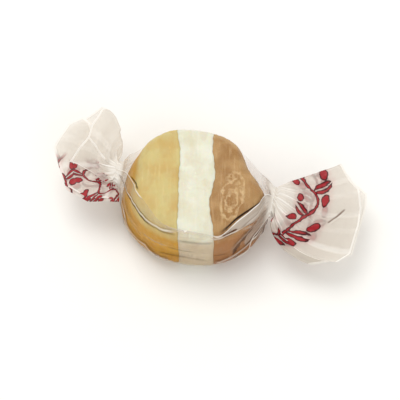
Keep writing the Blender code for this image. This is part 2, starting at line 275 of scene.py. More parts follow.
def layer_object(name, lower, upper, seams, finish):
    """A closed layer of the candy between two borders, or from a border to the candy's end."""
    angles = np.linspace(0, 360, 360, endpoint=False)
    limit = np.full(angles.shape, np.arcsin(0.9995))
    half = CANDY_HALF[0] + CANDY_LIFT
    start = np.arcsin(border_on_skin(lower, angles) / half) if lower else -limit
    end = np.arcsin(border_on_skin(upper, angles) / half) if upper else limit
    rows = max(2, round(float(np.mean(end - start)) * half / (0.24 * MM)))
    part = np.linspace(0, 1, rows + 1)[:, None]
    x = half * np.sin(start + (end - start) * part)
    radius = skin_radius(x, angles, CANDY_LIFT)
    skin = around_axis(x, angles, radius)
    relief = candy_relief(skin, seams) * smooth((half - np.abs(x)) / (0.8 * MM))
    skin = around_axis(x, angles, radius + relief)
    skin[..., 2] = np.maximum(skin[..., 2], 0.12 * MM)
    grids = [skin]
    if lower:
        grids.insert(0, border_rings(lower, skin[0])[::-1])
    if upper:
        grids.append(border_rings(upper, skin[-1]))
    grid = settled(np.concatenate(grids))
    rows, columns = grid.shape[:2]
    points = np.concatenate([grid.reshape(-1, 3), grid[0].mean(axis=0)[None], grid[-1].mean(axis=0)[None]])
    faces = ring_faces(rows, columns, True).tolist()
    first, last = rows * columns, rows * columns + 1
    for column in range(columns):
        after = (column + 1) % columns
        faces.append((first, after, column))
        faces.append((last, (rows - 1) * columns + column, (rows - 1) * columns + after))
    return mesh_object(name, points, faces, finish)


class Pleats:
    """The gathers of one end of the sheet: where each lies across it, how high it is and how far it runs."""

    def __init__(self, count, seed, reaches):
        draw = random.Random(seed)
        steps = [draw.uniform(0.6, 1.4) for _ in range(count)]
        self.places = np.cumsum([0] + steps) / sum(steps)
        self.count = count
        self.heights = np.array([draw.uniform(0.45, 1.0) for _ in range(count + 1)])
        self.reach = np.array([draw.choice(reaches) for _ in range(count + 1)])

    def at(self, place):
        """Count of pleats passed, ridge from 0 to 1, height, and reach in mm, at a place across (0 to 1)."""
        phase = np.interp(place, self.places, np.arange(self.count + 1))
        nearest = np.floor(phase + 0.5).astype(int)
        ridge = np.cos(np.pi * (phase - nearest)) ** 2
        return phase, ridge, self.heights[nearest], self.reach[nearest]


def straight_edge(corners, angle):
    """Distance in mm from the neck to the straight cuts between the corners, at each angle."""
    degrees = np.array([corner[0] for corner in corners], float)
    far = np.array([corner[1] for corner in corners])
    spot = np.clip(np.searchsorted(degrees, angle, side="right") - 1, 0, len(corners) - 2)
    near, beyond = far[spot], far[spot + 1]
    span, part = degrees[spot + 1] - degrees[spot], angle - degrees[spot]
    return near * beyond * sine(span) / (near * sine(part) + beyond * sine(span - part))


def fan_folds(draw):
    """The folds of a fan as heights over its width, rounded where the paper bends."""
    heights = [(1 if fold % 2 else -1) * draw.uniform(0.45, 1.0) for fold in range(TAIL_FOLDS + 1)]
    places = np.linspace(-0.5, TAIL_FOLDS + 0.5, 801)
    sharp = np.interp(places, range(TAIL_FOLDS + 1), heights)
    kernel = np.hanning(45)
    rounded = np.convolve(np.pad(sharp, 22, mode="edge"), kernel / kernel.sum(), mode="valid")
    return places, rounded


# How each tail lies: the angle round the neck of the sheet's first column, and the sheet's whole turn, at the
# start of the fan and at its cut end, in degrees. Then whether the first columns lie outermost (1 or -1).
FAN_TURN = {-1: ((10, 450), (107, 409), 1), 1: ((-8, 400), (-30, 412), -1)}
# How far the sides of each fan turn back towards the candy at its root, in degrees, and how early: the front
# side, then the back one
ROOT_TURNS_BACK = {-1: ((14, 1.0), (34, 0.8)), 1: ((62, 1.0), (26, 1.5))}
# Waves of a fan along its cut end: mm in from the cut, height in mm, middle and width in degrees
END_WAVES = {
    -1: ((2.0, 0.30, 40, 34), (3.6, -0.26, 34, 26), (5.0, 0.18, 44, 22)),
    1: ((2.6, 0.22, 0, 40), (5.4, -0.26, 12, 30), (8.6, 0.24, -12, 34)),
}
# One more sharp fold in each upper layer: from and to in mm out of the neck and towards the back, how bright
# its whitened wax and painted highlight are, and how dark its painted shade is
SHARP_FOLD = {-1: ((6.2, 5.6), (2.5, 2.1), 0.8, 0.0), 1: ((12.7, 0.3), (10.3, -2.4), 0.1, 0.2)}
# How far round each tail has turned, as (part of the way to its cut end, part of the turn) pairs
OPENING = {
    -1: ((0, 0), (0.3, 0.15), (0.5, 0.43), (0.65, 0.79), (0.85, 0.95), (1, 1)),
    1: ((0, 0), (0.1, 0.06), (0.2, 0.23), (0.35, 0.5), (0.5, 0.73), (0.7, 0.93), (0.87, 1), (1, 1)),
}
# A place far from any fold of the wrapped paper: mm away, how bright, how dark
NO_FOLD = (9.0, 0.0, 0.0)
# The print runs round each neck, and its motifs are true to scale at this many mm from it
PRINT_RADIUS = 7.5
# Middle of the printed band, in mm from the neck, and how many mm further out it lies at a fan's front side
PRINT_AT = 6.6
BAND_TILT = 1.5
# How many mm along its band the print shifts from one layer of a tail to the next
LAYER_SHIFT = 11
# On the caramel side the print is smaller by this factor, and a second garland is the first one's mirror
# image. Both are placed in mm from the neck.
SMALLER_PRINT = 1.2
FIRST_GARLAND = 5.2
SECOND_GARLAND = 10.2
# The folds of a fan that show as white lines of whitened wax and painted highlight, and how much
CREASED = {-1: (0.2, 0.5, 0.15, 0.3, 0.5, 0.2, 0.35, 0.2), 1: (0.2, 0.15, 0.55, 0.1, 0.3, 0.1, 0.35, 0.2)}


def sharp_fold(fold, x, y):
    """Distance in mm from a straight fold, and how bright and how dark it is there."""
    (x_from, y_from), (x_to, y_to), bright, dark = fold
    length = math.hypot(x_to - x_from, y_to - y_from)
    along = ((x - x_from) * (x_to - x_from) + (y - y_from) * (y_to - y_from)) / length
    away = ((x - x_from) * (y_to - y_from) - (y - y_from) * (x_to - x_from)) / length
    ends = smooth(along / 0.5 + 1) * smooth((length - along) / 0.5 + 1)
    return away, bright * ends, dark * ends


def tail_surface(side, folds, pleats, fine, place):
    """Rows of points from the neck's end to the cut end on one side of the candy, with the print's place on
    them, and with the creases' places and strengths."""
    (start_from, start_span), (end_from, end_span), outermost = FAN_TURN[side]
    lowest, highest = UPPER_CORNERS[side][0][0], UPPER_CORNERS[side][-1][0]
    (turns_front, front_early), (turns_behind, behind_early) = ROOT_TURNS_BACK[side]
    slope_along, slope_across = TAIL_SLOPE[side]
    neck_wide, neck_high = NECK_HALF[side]
    back, up = NECK_PLACE[side]
    phase, ridge, height, _ = pleats.at(place)
    small_phase, small, small_height, _ = fine.at(place)
    rows, prints, creases = [], [], []
    for part in np.linspace(0, 1, FAN_ROWS + 1)[1:]:
        opened = float(np.interp(part, *zip(*OPENING[side])))
        turn = start_from + (end_from - start_from) * opened
        turn = turn + (start_span + (end_span - start_span) * opened) * place
        across = 1 - 2 * np.abs((turn / 180) % 2 - 1)
        layer = np.sqrt(np.maximum(1 - across**2, 0)) * np.sign(sine(turn))
        cut_angle = lowest + (highest - lowest) * (across + 1) / 2
        low = lowest - turns_front * (1 - part) ** front_early
        high = highest + turns_behind * (1 - part) ** behind_early
        angle = low + (high - low) * (across + 1) / 2
        upper = straight_edge(UPPER_CORNERS[side], cut_angle)
        lower = straight_edge(LOWER_CORNERS[side], cut_angle)
        on_top = turn < 180 if side < 0 else (turn % 360) < 180
        reach = np.where(on_top, upper, lower) * MM
        # the two outlines meet at the folds; ease from one to the other there
        ease = smooth((1 - np.abs(across)) / 0.12)
        reach = reach * ease + np.maximum(upper, lower) * MM * (1 - ease)
        fold = np.interp((across + 1) / 2 * TAIL_FOLDS, *folds)
        rise = reach * (slope_along * cosine(angle) + slope_across * sine(angle))
        rise = rise + fold * FOLD_DEPTH[side] + across**2 * TAIL_CURL[side]
        spiral = outermost * (0.5 - place) * (1.0 if side < 0 else 0.5) * MM
        rise = rise + layer * (TAIL_HALF_GAP + spiral)
        gather = (1 - part) ** 3 * (1 + 0.2 * ridge * height)
        x = reach * cosine(angle) * part
        y = -neck_wide * cosine(turn) * gather + reach * sine(angle) * part
        z = neck_high * sine(turn) * gather + rise * part
        gathered = math.sin(math.pi * min(part * 1.6, 1)) * (1 - part)
        z = z + MM * (0.5 * height * (ridge - 0.4) + 0.18 * small_height * (small - 0.4)) * gathered
        for inwards, high_by, centre, width in END_WAVES[side]:
            from_cut = reach / MM * (1 - part) - inwards
            z = z + high_by * MM * np.exp(-((from_cut / 0.8) ** 2) - ((cut_angle - centre) / width) ** 2)
        rows.append(stacked(side * (NECK_AT + NECK_LENGTH + x), back + y, AXIS_HEIGHT + up + z))
        folds_passed = (across + 1) / 2 * TAIL_FOLDS
        arc = np.radians(cut_angle) * PRINT_RADIUS + np.floor(turn / 180) * LAYER_SHIFT
        inked = np.ones_like(arc)
        outwards = np.hypot(x, y) / MM - BAND_TILT * across
        if side < 0:
            # this tail's first layer is plain, and the others are printed on their front half
            inked = smooth((turn - 158) / 12) * smooth((10 - cut_angle) / 12)
            arc = arc * SMALLER_PRINT
            half_apart = (SECOND_GARLAND - FIRST_GARLAND) / 2 * SMALLER_PRINT
            from_mirror = np.abs((outwards - FIRST_GARLAND) * SMALLER_PRINT - half_apart)
            outwards = PRINT_AT + half_apart - from_mirror
        prints.append(stacked(arc, outwards, inked))
        shown = np.array(CREASED[side])[np.floor(folds_passed + 0.5).astype(int)]
        shown = shown * smooth((part - 0.25) / 0.3)
        strengths = (0.75 * height * (1 - part) ** 2, 0.4 * small_height * (1 - part) ** 3, shown)
        sharp = [value * on_top for value in sharp_fold(SHARP_FOLD[side], x / MM, y / MM)]
        creases.append(stacked(phase, small_phase, folds_passed, *strengths, *sharp))
    return rows, prints, creases


def lap_lift(angle, paper):
    return paper + 0.12 * MM * smooth((angle - LAP_LIFTS) / (LAP_LIFTED - LAP_LIFTS))


def wrapped_angle(side, half, place):
    """Angle round the axis of a place across the sheet."""
    free_edge = np.interp(half, *zip(*FREE_EDGE[side]))
    start = LAP_START + SHOULDER_TWIST[side] * np.maximum(half - 1, 0)
    return start + (free_edge - start) * place


# Mean distance in mm of the candy's low front from the twist axis
WALL_RADIUS = 8.0
# How far in from the lap's free edge the lap's own fold lies, as (half, mm) pairs
TUCK = {
    -1: ((0, 0.5), (0.13, 0.55), (0.24, 0.85), (0.33, 1.1), (0.39, 1.6), (0.5, 2.35), (0.61, 2.7),
         (0.74, 2.7), (1.03, 3.5), (1.33, 4.7), (2, 5.0)),
    1: ((0, 0.5), (0.38, 0.6), (0.43, 1.0), (0.48, 1.8), (0.54, 2.5), (0.65, 3.5), (0.83, 5.1),
        (1.1, 7.0), (2, 9.0)),
}
# The flap that is folded over low on the brown side, as (half, angle) pairs: its fold and its lower edge
FLAP_FOLD = ((0.53, 351), (0.59, 357), (0.61, 361), (0.67, 369), (0.76, 379), (0.93, 387), (1.2, 391))
FLAP_EDGE = ((0.3, 345), (0.57, 347), (0.74, 348), (1.0, 347), (1.2, 344), (1.4, 337), (1.73, 328))
# The folds of the wrapped paper: each one's (half, angle) pairs, how bright its line of whitened wax and
# painted highlight is, how dark the painted shade beside it is, and whether that lies below it (1) or above
# it (-1). Where nothing is bright it is a line of painted shade alone.
WALL_FOLDS = {
    -1: (
        (((-0.1, 385), (0.1, 385)), 0.0, 0.3, 1),
        (((0.12, 370.5), (0.22, 370), (0.33, 369), (0.46, 370), (0.55, 371)), 0.6, 0.0, 1),
        (((-0.1, 370), (0.0, 370), (0.24, 370.5)), 0.0, 0.35, 1),
        (((-0.1, 358), (0.1, 357), (0.32, 352)), 0.0, 0.35, 1),
        (((0.1, 346), (0.28, 342.5), (0.33, 344), (0.46, 349), (0.57, 346), (1.03, 340), (1.5, 337)),
         0.8, 0.3, -1),
    ),
    1: (
        (((-0.1, 385), (0.2, 385), (0.36, 386)), 0.0, 0.3, 1),
        (((-0.1, 370), (0.14, 370)), 0.0, 0.35, 1),
        (((-0.1, 358), (0.15, 356), (0.3, 352)), 0.0, 0.25, 1),
        (((0.3, 360), (0.55, 357)), 0.0, 0.45, 1),
        (FLAP_FOLD, 0.5, 1.0, 1),
        (FLAP_EDGE, 0.9, 0.3, -1),
    ),
}


def tuck_place(side, half):
    return np.interp(half, *zip(*TUCK[side]))


def wall_folds(side, half, angle, from_edge):
    """For one row of the sheet: mm from the nearest fold, more than 0 on its shaded side, how bright that
    fold is and how dark. The line where the lap is folded comes first."""
    away, bright, dark = (np.full(angle.shape, value) for value in (9.0, 0.0, 0.0))
    from_tuck = (from_edge - tuck_place(side, half)) * -side
    if side > 0:
        shown = float(smooth((half - 0.22) / 0.14) * smooth((0.68 - half) / 0.12))
        shade = float(smooth((half - 0.39) / 0.05) * smooth((0.58 - half) / 0.08))
    else:
        shown = float(smooth((half - 0.05) / 0.16)) * (1 - 0.3 * float(smooth((half - 1.5) / 0.4)))
        shade = float(smooth((half - 0.06) / 0.1) * (0.4 + 0.6 * smooth((half - 0.35) / 0.2)))
    found = [(from_tuck, 0.95 * shown, 0.95 * shade)]
    # mm along the candy to a step of 1 in half: a quarter circle's worth, and less on the shoulder
    mm_to_half = 19 * math.cos(math.pi / 2 * half) if half < 0.85 else 4.5
    for route, brightness, darkness, beside in WALL_FOLDS[side]:
        halves, angles = zip(*route)
        ends = float(smooth((half - halves[0]) / 0.1) * smooth((halves[-1] - half) / 0.1))
        before, here, after = np.interp((half - 0.02, half, half + 0.02), halves, angles)
        slope = math.radians(after - before) * WALL_RADIUS / (0.04 * mm_to_half)
        width = 2.0 if route is FLAP_FOLD else 1.0
        distance = np.radians(here - angle) * WALL_RADIUS * beside / math.hypot(1, slope) / width
        found.append((distance, brightness * ends, darkness * ends))
    for distance, brightness, darkness in found:
        near = (np.abs(distance) < 0.8) & (np.abs(distance) < np.abs(away)) & (brightness + darkness > 0)
        away[near] = distance[near]
        bright[near] = brightness
        dark[near] = darkness
    return away, bright, dark


def neck_radius(side, angle):
    wide, high = NECK_HALF[side]
    return 1 / np.hypot(cosine(angle) / wide, sine(angle) / high)


def half_sheet(side, folds, pleats, fine, look):
    """The rows of the sheet from its middle to the cut end on one side."""
    place = np.linspace(0, 1, SHEET_COLUMNS + 1)
    from_edge = (1 - place) * SHEET_WIDTH
    back, up = NECK_PLACE[side]
    paper = CANDY_LIFT + look.stand_off
    phase, ridge, height, reach = pleats.at(place)
    small_phase, small, small_height, small_reach = fine.at(place)
    rows, creases = [], []
    x_steps = np.linspace(0.45, 0.985, 150)[:, None] * CANDY_HALF[0]
    for row in range(BODY_ROWS + SHOULDER_ROWS + 1):
        along = math.sin(math.pi / 2 * min(row / BODY_ROWS, 1))
        past = max(row - BODY_ROWS, 0) / SHOULDER_ROWS
        half = min(row / BODY_ROWS, 1) + past
        angle = wrapped_angle(side, half, place)
        lift = lap_lift(angle, paper)
        neck = neck_radius(side, angle)
        steep = (skin_radius(side * x_steps, angle, lift) - neck) / (NECK_AT - x_steps)
        start = x_steps[np.argmax(steep, axis=0), 0]
        x = side * start * along
        radius = skin_radius(x, angle, lift)
        x = side * (start * along + (NECK_AT - start) * past)
        radius = radius + (neck - radius) * past
        from_neck = (NECK_AT - np.abs(x)) / MM
        off_face = smooth((np.abs(angle - 90) - 35) / 30)
        # the paper is taut and smooth low on the front, most on the brown side
        taut = 0.85 if side > 0 else 0.5
        smoothed = 1 - taut * smooth((angle - 312) / 12) * smooth((2.1 - half) / 0.3)
        face = (0.25 + 0.75 * off_face) * smoothed
        fade = smooth((reach - from_neck) / (0.55 * reach)) * smooth(from_neck / 1.2 + 0.3)
        fade_small = smooth((small_reach - from_neck) / (0.7 * small_reach)) * smooth(from_neck / 1.2)
        swell = 0.8 * smooth(from_neck / 2.0) * np.exp(-np.maximum(from_neck - 2.5, 0) / 3.5)
        swell = (swell + 0.12) * MM
        radius = radius + ridge**1.5 * height * fade * swell * face
        radius = radius + small**2 * small_height * fade_small * 0.22 * MM * face
        away, bright, dark = wall_folds(side, half, angle, from_edge)
        radius = radius + 0.22 * MM * bright * np.exp(-((away / 0.4) ** 2)) * smooth((from_neck - 0.5) / 2)
        raised = smooth((11 - from_neck) / 5) * smooth(from_neck / 2) if side > 0 else 0.2
        radius = radius + (0.08 + 0.6 * raised) * MM * smooth(1 - from_edge / 2.0)
        rows.append(around_axis(x, angle, radius, back * past, up * past))
        shown = (0.08 + 0.92 * off_face) * smoothed
        strengths = (0.8 * height * fade * shown, 0.5 * small_height * fade_small * shown, 0.0)
        creases.append(stacked(phase, small_phase, 0.0, *strengths, away, bright, dark))
    (start_from, start_span), _, _ = FAN_TURN[side]
    body_turn = wrapped_angle(side, 2, place)
    fan_turn = start_from + start_span * place
    for row in range(1, NECK_ROWS + 1):
        part = row / NECK_ROWS
        turn = body_turn + (fan_turn - body_turn) * smooth(part)
        waist = 1 - 0.08 * math.sin(math.pi * part)
        radius = neck_radius(side, turn) * waist * (1 + 0.2 * (ridge * height - 0.3) + 0.06 * small)
        rows.append(around_axis(side * (NECK_AT + NECK_LENGTH * part), turn, radius, back, up))
        strengths = (height, small_height, 0.0)
        creases.append(stacked(phase, small_phase, 0.0, *strengths, *NO_FOLD))
    tail, prints, tail_creases = tail_surface(side, folds, pleats, fine, place)
    unprinted = np.zeros((len(rows), len(place), 3))
    return np.array(rows + tail), np.concatenate([unprinted, prints]), np.array(creases + tail_creases)


def relaxed(grid, rounds):
    """The grid with its rows' joins evened out, its rim kept."""
    for _ in range(rounds):
        inner = grid[1:-1] * 0.5 + (grid[:-2] + grid[2:]) * 0.25
        grid = np.concatenate([grid[:1], inner, grid[-1:]])
    return grid


def sheet_surface(look):
    """The sheet's points, how many mm along it each row lies, and the places of its print and creases."""
    draw = random.Random(7)
    folds = {-1: fan_folds(draw), 1: fan_folds(draw)}
    halves = {}
    # the pleats, and the finer gathers between them: how many, the seed that places them, and how many mm
    # from the neck one may run
    for side, count in ((-1, 15), (1, 16)):
        pleats = Pleats(count, 20 + side, [2.5, 3.5, 5, 6.5, 8])
        fine = Pleats(37, 40 + side, [2, 3, 4, 5.5])
        halves[side] = half_sheet(side, folds[side], pleats, fine, look)
    grid, prints, creases = (
        np.concatenate([left[::-1], right[1:]]) for left, right in zip(halves[-1], halves[1])
    )
    grid = settled(relaxed(grid, 3))
    grid[..., 2] = np.maximum(grid[..., 2], 0.02 * MM)
    steps = np.median(np.linalg.norm(np.diff(grid, axis=0), axis=2), axis=1)
    lengthwise = np.concatenate([[0], np.cumsum(steps)]) / MM
    return grid, lengthwise, prints, creases


# A painted shadow along the lap's raised edge on each side, in the gap under it: how dark it is, the halves
# that it begins and ends at, how many mm it lies beyond the edge, and up to which half the cut edge lies flat
# and hardly shows
LAP_SHADOW = {-1: (0.9, 0.75, 1.45, 0.4, 0.7), 1: (1.0, 0.34, 2.0, 0.2, 0.36)}
# Mean distance in mm of the candy's face from the twist axis, near the lap
FACE_RADIUS = 7.5
# The paper clings to the candy up to the first distance, and beyond the second none of it does
CLINGS_WITHIN = 0.22 * MM
CLEAR_OF_CANDY = 1.2 * MM


def sheet_veil(look, contact):
    """How much the paper hides at each point: least on the candy, most where it is gathered or lies in the
    lap. Then where painted shade greys it, in the lap and in the flap."""
    rows, columns = contact.shape
    middle = (rows - 1) / 2
    half = np.abs(np.arange(rows) - middle)[:, None]
    on_right = np.arange(rows)[:, None] > middle
    place = np.linspace(0, 1, columns)[None, :]
    in_neck = smooth((half - BODY_ROWS - 0.6 * SHOULDER_ROWS) / (0.4 * SHOULDER_ROWS))
    in_tail = smooth((half - BODY_ROWS - SHOULDER_ROWS - NECK_ROWS) / (0.3 * FAN_ROWS))
    part = np.minimum(half / BODY_ROWS, 1) + np.clip((half - BODY_ROWS) / SHOULDER_ROWS, 0, 1)
    tuck = np.where(on_right, tuck_place(1, part), tuck_place(-1, part))
    lapped_and_shaded = smooth((tuck + 0.1 - (1 - place) * SHEET_WIDTH) / 0.4)
    band_alpha = look.band_alpha * (1 + smooth((0.3 - part) / 0.15))
    lap_alpha = band_alpha + (look.lap_alpha - band_alpha) * smooth((part - 0.38) / 0.12) * on_right
    angle = wrapped_angle(1, part, place)
    under_fold = smooth((np.interp(part, *zip(*FLAP_FOLD)) - angle) / 4)
    over_edge = smooth((angle - np.interp(part, *zip(*FLAP_EDGE))) / 4)
    in_flap = under_fold * over_edge * smooth((part - 0.8) / 0.2)
    in_flap = np.maximum(in_flap, smooth((part - 1.0) / 0.35) * (angle > 300)) * on_right
    on_body = look.contact_alpha * contact + look.shoulder_alpha * (1 - contact)
    on_body = on_body + (look.flap_alpha - on_body) * in_flap
    on_body = on_body + (lap_alpha - on_body) * lapped_and_shaded
    hidden = on_body + (look.neck_alpha - on_body) * in_neck
    hidden = hidden + (look.tail_alpha - hidden) * in_tail
    return hidden, np.maximum(lapped_and_shaded, 0.6 * in_flap) * (1 - in_neck)


def add_node(tree, kind, *inputs, output=0, **settings):
    """Adds a node of a kind, which may have its operation after it, with its settings. Its inputs, in order
    or in one table by name, are set or linked. Gives the output asked for, or all of them for None."""
    kind, _, operation = kind.partition(" ")
    node = tree.nodes.new("ShaderNode" + kind)
    if operation:
        node.operation = operation
    for name, value in settings.items():
        setattr(node, name, value)
    for name, value in inputs[0].items() if inputs and isinstance(inputs[0], dict) else enumerate(inputs):
        if isinstance(value, bpy.types.NodeSocket):
            tree.links.new(value, node.inputs[name])
        else:
            node.inputs[name].default_value = value
    return node.outputs if output is None else node.outputs[output]


def new_material(name):
    """A material with no nodes yet, and the function that adds them."""
    made = bpy.data.materials.new(name)
    made.use_nodes = True
    made.node_tree.nodes.clear()
    return made, partial(add_node, made.node_tree)


def opaque(colour):
    return (*colour, 1.0)


# Settings that many nodes share. A Map Range node goes from its 4th input to its 5th, or from 0 to 1, as its
# first goes from its 2nd to its 3rd. A Mix node of colours gives them at its third output.
SMOOTH = {"interpolation_type": "SMOOTHSTEP"}
COLOURS = {"data_type": "RGBA", "output": 2}


def pulled_taffy(name, colour, dark, light, skin, roughness, marked):
    """Pulled sugar candy, worked on a hook until it is full of fine air: satin, a little translucent, with
    faint lines along the pull, small pits where the knife went through, and pale loops where the darker candy
    was folded. Its sides take the skin colour, darker than the cut faces: partly the rope's denser skin,
    partly painted shade of sides that get less light from above. Low down it carries more painted shade, most
    at its foot."""
    made, add = new_material(name)
    place = add("NewGeometry", output="Position")
    height = add("SeparateXYZ", place, output=2)
    off_axis = add("Math SUBTRACT", height, AXIS_HEIGHT)
    off_axis = add("Math ABSOLUTE", off_axis)
    turned = {"Vector": place, "Rotation": (0, 0, STRIPE_TURN), "Scale": (MM, MM, MM)}
    turned = add("Mapping", turned, vector_type="TEXTURE")
    # The lines from pulling are finer than the picture can show, so they are drawn 0.4 mm apart and 4.5 mm
    # long. The clouds are 3.5 mm wide and the pits 0.3 mm.
    stretched = add("VectorMath MULTIPLY", turned, (2.4, 0.22, 0.5))
    lines = add("TexNoise", {"Vector": stretched, "Scale": 1.0, "Detail": 4.0})
    cloud = add("TexNoise", {"Vector": turned, "Scale": 0.28, "Detail": 3.0})
    pits = add("TexNoise", {"Vector": turned, "Scale": 3.2, "Detail": 5.0, "Roughness": 0.7})
    cloud = add("MapRange", cloud, 0.3, 0.7, **SMOOTH)
    streak = add("MapRange", lines, 0.5, 0.85, 0, 0.5, **SMOOTH)
    grain = add("MapRange", pits, 0.56, 0.74, 0, 0.4, **SMOOTH)

    # Long loops round a point 7 mm along the stripes, 1.9 mm to a side, 4.2 mm up and down, tilted 12 degrees
    loops = {"Location": (7.0, -3.3, 0), "Rotation": (0, 0, math.radians(-12)), "Scale": (1.9, 4.2, 1e9)}
    loops = add("Mapping", {"Vector": turned, **loops}, vector_type="TEXTURE")
    loops = add("VectorMath LENGTH", loops, output="Value")
    bent = add("TexNoise", {"Vector": turned, "Scale": 0.42, "Detail": 3.0})
    frayed = add("TexNoise", {"Vector": turned, "Scale": 1.3, "Detail": 3.0})
    loops = add("Math MULTIPLY_ADD", bent, 2.2, loops)
    loops = add("Math MULTIPLY_ADD", frayed, 0.5, loops)
    loops = add("Math SUBTRACT", loops, 1.35)
    fading = add("MapRange", loops, 1.0, 1.5, marked, 0, **SMOOTH)
    loops = add("Math MULTIPLY", loops, 1.8)
    loops = add("Math FRACT", loops)
    loops = add("Math SUBTRACT", loops, 0.72)
    loops = add("Math ABSOLUTE", loops)
    loops = add("MapRange", loops, 0.04, 0.36, fading, 0, **SMOOTH)
    patchy = add("MapRange", pits, 0.3, 0.56, 0.4, 1, **SMOOTH)
    patchy = add("MapRange", frayed, 0.38, 0.6, 0.4, patchy, **SMOOTH)
    loops = add("Math MULTIPLY", loops, patchy)

    # the sides take the skin colour: partly the rope's denser skin, partly painted shade of sides that get
    # less light from above
    skin_and_side_shade = add("MapRange", off_axis, 3.3 * MM, 5.2 * MM, 0.96, 0, **SMOOTH)
    # painted shade low on the sides, darkest at the foot: darker and redder, and the paler candy darkens less
    foot_shade_colour = tuple(part * (0.62 - 0.08 * index) for index, part in enumerate(skin))
    foot_shade = add("MapRange", height, 2.5 * MM, 7.5 * MM, 0.72 * (1 - 1.6 * skin[2]), 0, **SMOOTH)
    shade = opaque(dark)
    for factor, tint in (
        (cloud, colour),
        (streak, light),
        (grain, dark),
        (loops, light),
        (skin_and_side_shade, skin),
        (foot_shade, foot_shade_colour),
    ):
        shade = add("Mix", {0: factor, 6: shade, 7: opaque(tint)}, **COLOURS)
    relief = add("Math MULTIPLY", lines, 0.6)
    relief = add("Math MULTIPLY_ADD", grain, -1.25, relief)
    finish = {
        "Base Color": shade,
        "Roughness": roughness,
        "IOR": 1.48,
        "Specular IOR Level": 0.12,
        "Subsurface Weight": 0.25,
        "Subsurface Radius": (1.0, 0.6, 0.3),
        "Subsurface Scale": 0.9 * MM,
        "Normal": add("Bump", {"Strength": 0.35, "Distance": 0.12 * MM, "Height": relief}),
    }
    add("OutputMaterial", add("BsdfPrincipled", finish), output=None)
    return made


def crease_line(add, phase, spacing, width, strength):
    """A white line at each whole phase, and a shaded one beside it. Whole phases lie spacing mm apart."""
    whole = add("Math ROUND", phase)
    off = add("Math SUBTRACT", phase, whole)
    off = add("Math MULTIPLY", off, spacing)
    away = add("Math ABSOLUTE", off)
    white = add("MapRange", away, 0.3 * width, width, strength, 0, **SMOOTH)
    shaded = add("MapRange", off, 0.7 * width, 1.5 * width, 0, strength, **SMOOTH)
    shaded = add("MapRange", off, 1.5 * width, 4.0 * width, shaded, 0, **SMOOTH)
    return white, shaded


def printed_garland(add, across, band, sheet):
    """Distance in mm from the printed line: a wavy stem with a leaf and a berry to every 3.4 mm, as if
    brushed by hand. A leaf is where two circles of 1.7 mm overlap, whose middles lie 1.25 mm beside its
    clear midrib."""
    every = 3.4
    swing = 0.9
    turns = add("Math MULTIPLY", across, math.pi / every)
    middle = add("Math SINE", turns)
    middle = add("Math MULTIPLY", middle, swing)
    steep = add("Math COSINE", turns)
    steep = add("Math MULTIPLY", steep, swing * math.pi / every)
    longer = add("Math MULTIPLY_ADD", steep, steep, 1.0)
    longer = add("Math SQRT", longer)
    stem = add("Math SUBTRACT", band, middle)
    stem = add("Math ABSOLUTE", stem)
    stem = add("Math DIVIDE", stem, longer)
    stem = add("Math ADD", stem, 0.1)

    place = add("Math MULTIPLY_ADD", across, 1 / every, 0.5)
    aside = add("Math FRACT", place)
    aside = add("Math MULTIPLY_ADD", aside, every, -every / 2)
    # leaves lie on either side of the stem by turns, tilted by 25 degrees
    which = add("Math FLOOR", place)
    which = add("Math MODULO", which, 2.0)
    which = add("Math ABSOLUTE", which)
    which = add("Math MULTIPLY_ADD", which, 2.0, -1.0)
    above = add("Math MULTIPLY_ADD", band, which, -1.8)
    length = add("Math MULTIPLY", above, 0.91)
    length = add("Math MULTIPLY_ADD", aside, 0.42, length)
    width = add("Math MULTIPLY", above, -0.42)
    width = add("Math MULTIPLY_ADD", aside, 0.91, width)
    width = add("Math ABSOLUTE", width)
    from_circle = add("Math ADD", width, 1.25)
    leaf = add("CombineXYZ", length, from_circle)
    leaf = add("VectorMath LENGTH", leaf, output="Value")
    leaf = add("Math SUBTRACT", leaf, 1.7)
    midrib = add("Math SUBTRACT", 0.48, width)
    leaf = add("Math MAXIMUM", leaf, midrib)

    beside = add("Math ABSOLUTE", aside)
    beside = add("Math SUBTRACT", beside, every / 2)
    outwards = add("Math ABSOLUTE", band)
    outwards = add("Math SUBTRACT", outwards, 2.3)
    berry = add("CombineXYZ", beside, outwards)
    berry = add("VectorMath LENGTH", berry, output="Value")
    berry = add("Math SUBTRACT", berry, 0.35)

    line = add("Math MINIMUM", stem, leaf)
    line = add("Math MINIMUM", line, berry)
    # the brush strays over 1.8 mm
    wobble = add("TexNoise", {"Vector": sheet, "Scale": 0.55, "Detail": 2.0})
    line = add("Math MULTIPLY_ADD", wobble, 0.6, line)
    return add("Math SUBTRACT", line, 0.3)


